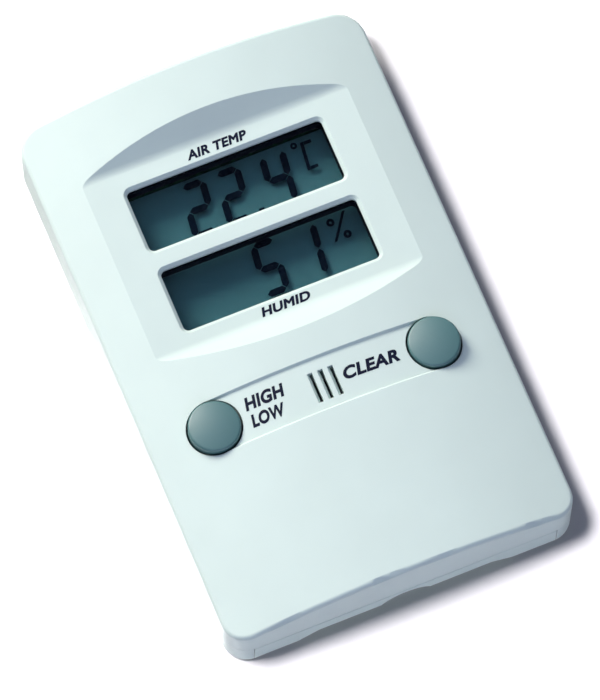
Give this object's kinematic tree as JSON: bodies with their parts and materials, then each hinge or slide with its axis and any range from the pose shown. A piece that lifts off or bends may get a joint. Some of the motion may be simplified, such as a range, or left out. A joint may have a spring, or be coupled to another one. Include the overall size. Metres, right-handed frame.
{
  "type": "maximum minimum thermo-hygrometer",
  "caption": "Flat digital instrument for wall or table that shows temperature over humidity in two windows, with round push buttons, an air-slotted sensor, a fold-out stand and a battery door.",
  "frame": {"origin": "middle of the back rest plane, straight behind the middle of the face", "axes": "+X to the right across the face, +Y from the bottom end to the top end, +Z out of the face; the instrument lies on its back"},
  "size_m": [0.0582, 0.0914, 0.0152],
  "materials": {
    "case_plastic": "satin moulded, cool white",
    "button_plastic": "satin moulded, grey-green",
    "silicone": "translucent silicone",
    "carbon_rubber": "matt carbon-loaded",
    "clear_acrylic": "clear, polished",
    "polariser_film": "tinted film",
    "display_glass": "clear, cut edges",
    "segment_dark": "dark blue-black",
    "reflector_film": "diffuse reflector",
    "carrier_plastic": "matt black moulded",
    "layered_elastomer": "fine layered stripes",
    "circuit_board": "green solder mask",
    "black_epoxy": "glossy potting",
    "tinned_steel": "bright can",
    "resistor_black": "matt, tinned ends",
    "capacitor_tan": "ceramic, tinned ends",
    "sensor_housing": "matt moulded",
    "bead_epoxy": "dark glazed bead",
    "nickel_spring": "nickel-plated spring strip",
    "stainless_steel": "satin",
    "seal_plastic": "moulded gasket",
    "screw_steel": "zinc-plated"
  },
  "bodies": {
    "case": {"front_shell": "case_plastic", "rear_shell": "case_plastic", "display_lens": "clear_acrylic", "lcd_front_polariser": "polariser_film", "lcd_front_glass": "display_glass", "lcd_segments": "segment_dark", "lcd_rear_glass": "display_glass", "lcd_reflector": "reflector_film", "lcd_carrier": "carrier_plastic", "elastomer_connectors": "layered_elastomer", "main_board": "circuit_board", "controller_chip": "black_epoxy", "clock_crystal": "tinned_steel", "chip_resistors": "resistor_black", "chip_capacitors": "capacitor_tan", "humidity_sensor": "sensor_housing", "thermistor": "bead_epoxy", "battery_contact_positive": "nickel_spring", "battery_contact_negative": "nickel_spring", "coin_cell_can": "stainless_steel", "coin_cell_seal": "seal_plastic", "coin_cell_cap": "stainless_steel", "case_screws": "screw_steel", "board_screws": "screw_steel", "max_min_key_dome": "silicone", "reset_key_dome": "silicone"},
    "max_min_button": {"max_min_button": "button_plastic", "max_min_contact_pill": "carbon_rubber"},
    "reset_button": {"reset_button": "button_plastic", "reset_contact_pill": "carbon_rubber"},
    "stand": {"table_stand": "case_plastic"},
    "battery_door": {"battery_door": "case_plastic"}
  },
  "joints": [
    {"name": "max_min_press", "type": "slide", "parent": "case", "child": "max_min_button", "axis": [0, 0, -1], "range_m": [0, 0.0008], "stiffness_N_per_m": 120, "deforming": ["max_min_key_dome"]},
    {"name": "reset_press", "type": "slide", "parent": "case", "child": "reset_button", "axis": [0, 0, -1], "range_m": [0, 0.0008], "stiffness_N_per_m": 120, "deforming": ["reset_key_dome"]},
    {"name": "stand_fold", "type": "hinge", "parent": "case", "child": "stand", "pos_m": [0, -0.012, 0.0013], "axis": [1, 0, 0], "range_deg": [0, 30]},
    {"name": "battery_door_open", "type": "hinge", "parent": "case", "child": "battery_door", "pos_m": [0, 0.00065, 0], "axis": [-1, 0, 0], "range_deg": [0, 60]}
  ]
}
